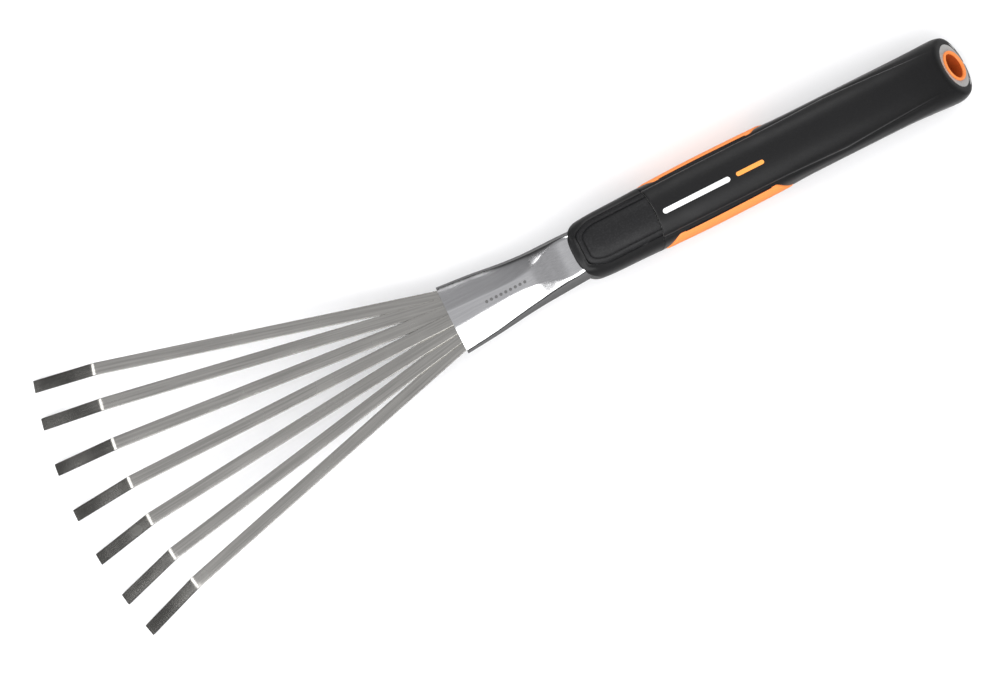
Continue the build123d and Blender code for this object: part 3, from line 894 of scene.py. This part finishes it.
def build_pad():
    """The pad with its double contour, laid into the collar's top."""
    rings = [pad_ring(inset) for inset in PAD_PROFILE[:, 0]]
    spine = rings[-1] * (1, 0)
    spine[:, 0] = np.maximum(spine[:, 0], PAD_FRONT_X + PAD_SPINE)
    plan = np.array(rings + [spine])
    lift = np.append(PAD_PROFILE[:, 1], PAD_PROFILE[-1, 1])[:, None]
    height = handle_top(plan[..., 0], plan[..., 1])
    top = np.stack((plan[..., 0], plan[..., 1], height + lift), axis=-1)
    bottom = np.stack((plan[..., 0], plan[..., 1], height - PAD_DEPTH), axis=-1)
    slab_piece("thumb_pad_soft", top, bottom, [PAD_BLACK], "pad_black", folded=True, sharp=60.0,
               replaced=("thumb_pad",))


# ================================================================ inserts, eyelet and marks
INSERT_BULGE = 0.45
INSERT_EASE = 0.7
INSERT_DEPTH = 1.4
INSERT_EDGE = 0.05             # how far its edge lies below the skin


def build_insert(name, side):
    """Orange insert that fills a side window and stands a little proud of the skin."""
    along = np.linspace(0, math.pi, INSERT_ROWS)
    x = (WINDOW_FRONT_X + WINDOW_BACK_X) / 2 - (WINDOW_BACK_X - WINDOW_FRONT_X) / 2 * np.cos(along)
    low, high = window_height(x)
    up = (1 - np.cos(np.linspace(0, math.pi, INSERT_COLUMNS))) / 2
    z = low[:, None] + (high - low)[:, None] * up
    x = np.broadcast_to(x[:, None], z.shape)
    within = np.minimum(np.minimum(z - low[:, None], high[:, None] - z),
                        np.minimum(x - WINDOW_FRONT_X, WINDOW_BACK_X - x))
    bulge = INSERT_BULGE * np.sqrt(np.clip(within / INSERT_EASE, 0, 1)) - INSERT_EDGE
    y = handle_side(x, z)
    front = np.stack((x, side * (y + bulge), z), axis=-1)
    back = np.stack((x, side * (y - INSERT_DEPTH), z), axis=-1)
    slab_piece(name, front, back, [CORE_ORANGE], "core_orange", sharp=50.0)


# radius and height along the hole's axis: the eyelet's rolled lip, and a darker sheet over the inside of the
# hole, which paints in the shade there
LIP_PROFILE = ((7.12, -1.2), (7.12, -0.05), (7.05, 0.14), (6.9, 0.26), (6.65, 0.3), (6.35, 0.27),
               (6.08, 0.14), (5.88, -0.1), (5.76, -0.45), (5.71, -0.95), (5.71, -1.2))
BORE_PROFILE = ((5.69, -0.7), (5.64, -1.0), (5.64, -14.8), (5.69, -14.9))


def build_hole_ring(name, profile, columns, material):
    """A ring turned round the hanging hole's axis."""
    turn = 2 * math.pi * np.arange(columns) / columns
    spokes = np.outer(np.cos(turn), (0, 1, 0)) + np.outer(np.sin(turn), UP_THE_SLOPE)
    rings = [HOLE_CENTRE + spokes * radius + HOLE_AXIS * height for radius, height in profile]
    torus_piece(name, rings, [material], "core_orange", sharp=60.0)


BAR_LIFT = 0.02                # how far a printed or stamped bar stands proud
BAR_DEPTH = 0.05
BAR_END_SHARE = 0.0004         # square of its end's half width against its own


def build_bar(name, x_from, x_to, y_from, y_to, surface, material):
    """A thin printed or stamped bar with round ends that follows a surface."""
    steps = np.linspace(0, math.pi, BAR_ROWS)
    x = (x_from + x_to) / 2 - (x_to - x_from) / 2 * np.cos(steps)
    half = (y_to - y_from) / 2
    to_end = np.minimum(x - x_from, x_to - x)
    width = half * np.sqrt(np.clip(1 - (1 - np.clip(to_end / half, 0, 1)) ** 2, BAR_END_SHARE, 1))
    y = (y_from + y_to) / 2 + width[:, None] * np.linspace(-1, 1, BAR_COLUMNS)
    x = np.broadcast_to(x[:, None], y.shape)
    z = surface(x, y)
    top = np.stack((x, y, z + BAR_LIFT), axis=-1)
    bottom = np.stack((x, y, z - BAR_DEPTH), axis=-1)
    slab_piece(name, top, bottom, [material], None, sharp=60.0)


def tube_top(x, y):
    """Height of the tube's roof."""
    half_width, half_thickness, ridge, squareness, slope, flat = station_at(TUBE_STATIONS, x)
    rise = half_thickness * np.sqrt(1 - np.abs(y / half_width) ** squareness)
    return ridge - half_thickness + rise - roof_drop(y, half_width, slope, flat)


DOT_COUNT = 9
DOTS_FROM_X = -13.0
DOT_PITCH = 2.3
DOT_LENGTH = 1.4
DOT_LOW_Y, DOT_HIGH_Y = -1.0, 0.4


def build_marks():
    """Plain bars where the real tool is printed, and a row of peened dots where it is stamped."""
    build_bar("print_bar_white", 71.5, 103.0, -2.9, -0.6, handle_top, PRINT_WHITE)
    build_bar("print_bar_orange", 106.0, 119.0, -2.6, -0.7, handle_top, PRINT_ORANGE)
    for k in range(DOT_COUNT):
        x = DOTS_FROM_X + DOT_PITCH * k
        build_bar(f"peened_dot_{k + 1}", x, x + DOT_LENGTH, DOT_LOW_Y, DOT_HIGH_Y, tube_top, STAMP_GREY)


# ================================================================ lights, floor and camera
# height of a direction above the floor (0 level, 1 overhead) and how bright the room is there in reflections
ROOM_LEVELS = ((0.02, 0.03), (0.4, 0.05), (0.62, 0.22), (0.86, 0.38), (0.92, 0.58), (0.98, 0.5))
ROOM_BLUE = 1.02
# how bright the floor shows in reflections: painted shade, standing in for the floor shaded round the tool
FLOOR_SHADE_IN_REFLECTIONS = 0.15
FLOOR_HALF = 3.0               # metres, as the three below
FLOOR_DROP = 0.0002
# name, place, width, height and power in watts of each softbox, all aimed at the middle of the tool
SOFTBOXES = (
    ("key_softbox", (-0.33, -0.95, 1.05), 1.5, 1.15, 15.0),
    ("front_softbox", (-1.0, 0.1, 0.7), 1.3, 0.38, 5.0),
    ("rim_softbox", (0.35, 1.2, 0.75), 0.7, 0.7, 4.0),
)
CAMERA_PLACE = (0.0082, -0.1065, 0.8717)
CAMERA_RIGHT = (0.892, -0.4465, -0.0706)
CAMERA_BACK = (0.026, -0.1053, 0.9941)
CAMERA_LENS = 71.85
CAMERA_SENSOR = 36.0


def area_light(name, place, width, height, power):
    """A rectangular softbox aimed at the middle of the tool."""
    light = bpy.data.lights.new(name, "AREA")
    light.energy = power
    light.shape = "RECTANGLE"
    light.size = width
    light.size_y = height
    lamp = bpy.data.objects.new(name, light)
    lamp.location = place
    lamp.rotation_mode = "QUATERNION"
    lamp.rotation_quaternion = (-Vector(place)).to_track_quat("-Z", "Y")
    bpy.context.scene.collection.objects.link(lamp)


def build_studio():
    """Three softboxes in a white room, which in reflections is dark near the floor and grey overhead."""
    for softbox in SOFTBOXES:
        area_light(*softbox)
    world = bpy.data.worlds.new("studio")
    bpy.context.scene.world = world
    world.use_nodes = True
    nodes, links = world.node_tree.nodes, world.node_tree.links
    background = nodes["Background"]
    place = nodes.new("ShaderNodeTexCoord")
    split = nodes.new("ShaderNodeSeparateXYZ")
    room = nodes.new("ShaderNodeValToRGB")
    for position, level in ROOM_LEVELS:
        stop = room.color_ramp.elements.new(position)
        stop.color = (level, level, level * ROOM_BLUE, 1)
    room.color_ramp.elements.remove(room.color_ramp.elements[0])
    room.color_ramp.elements.remove(room.color_ramp.elements[-1])
    links.new(place.outputs["Generated"], split.inputs["Vector"])
    links.new(split.outputs["Z"], room.inputs["Fac"])
    path = nodes.new("ShaderNodeLightPath")
    mix = nodes.new("ShaderNodeMix")
    mix.data_type = "RGBA"
    plain, reflected = [s for s in mix.inputs if s.type == "RGBA"]
    mixed = [s for s in mix.outputs if s.type == "RGBA"][0]
    plain.default_value = (1.0, 1.0, 1.0, 1)
    links.new(room.outputs["Color"], reflected)
    links.new(path.outputs["Is Glossy Ray"], mix.inputs["Factor"])
    links.new(mixed, background.inputs["Color"])
    background.inputs["Strength"].default_value = 1.0


def dim_in_reflections(material, share):
    """The floor is blown out to white in view, and shows darker in the polished steel: painted shade, for the
    floor shaded round the tool.
    """
    nodes, links = material.node_tree.nodes, material.node_tree.links
    output = nodes["Material Output"]
    white = nodes["Principled BSDF"]
    grey = nodes.new("ShaderNodeBsdfDiffuse")
    grey.inputs["Color"].default_value = (share, share, share, 1)
    path = nodes.new("ShaderNodeLightPath")
    mix = nodes.new("ShaderNodeMixShader")
    links.new(path.outputs["Is Glossy Ray"], mix.inputs["Fac"])
    links.new(white.outputs["BSDF"], mix.inputs[1])
    links.new(grey.outputs["BSDF"], mix.inputs[2])
    links.new(mix.outputs["Shader"], output.inputs["Surface"])


def build_floor():
    """A white floor just below the tool."""
    mesh = bpy.data.meshes.new("floor")
    level = FLOOR_Z * MM - FLOOR_DROP
    corners = [(x * FLOOR_HALF, y * FLOOR_HALF, level) for x, y in ((-1, -1), (1, -1), (1, 1), (-1, 1))]
    mesh.from_pydata(corners, [], [(0, 1, 2, 3)])
    dim_in_reflections(FLOOR_WHITE, FLOOR_SHADE_IN_REFLECTIONS)
    mesh.materials.append(FLOOR_WHITE)
    floor = bpy.data.objects.new("floor", mesh)
    bpy.context.scene.collection.objects.link(floor)


def build_camera():
    """Nearly overhead, tilted a little towards the -Y side."""
    data = bpy.data.cameras.new("camera")
    data.sensor_width = CAMERA_SENSOR
    data.lens = CAMERA_LENS
    data.clip_start = 0.01
    camera = bpy.data.objects.new("camera", data)
    back = Vector(CAMERA_BACK).normalized()
    up = back.cross(Vector(CAMERA_RIGHT)).normalized()
    right = up.cross(back)
    turn = Matrix((right, up, back)).transposed()
    camera.matrix_world = Matrix.Translation(CAMERA_PLACE) @ turn.to_4x4()
    bpy.context.scene.collection.objects.link(camera)
    bpy.context.scene.camera = camera


finish_cad_nodes()
build_camera()
build_studio()
build_floor()
for number in range(len(TINE_ANGLES)):
    build_tine(number)
build_ferrule()
build_grip()
build_collar()
build_pad()
build_insert("window_insert_left", 1)
build_insert("window_insert_right", -1)
build_hole_ring("eyelet_lip", LIP_PROFILE, HOLE_COLUMNS, CORE_ORANGE)
# a darker orange sheet over the inside of the hole: painted shade
build_hole_ring("bore_shade_liner", BORE_PROFILE, BORE_COLUMNS, BORE_PAINTED_SHADE)
build_marks()
bpy.context.scene.view_settings.view_transform = "Standard"
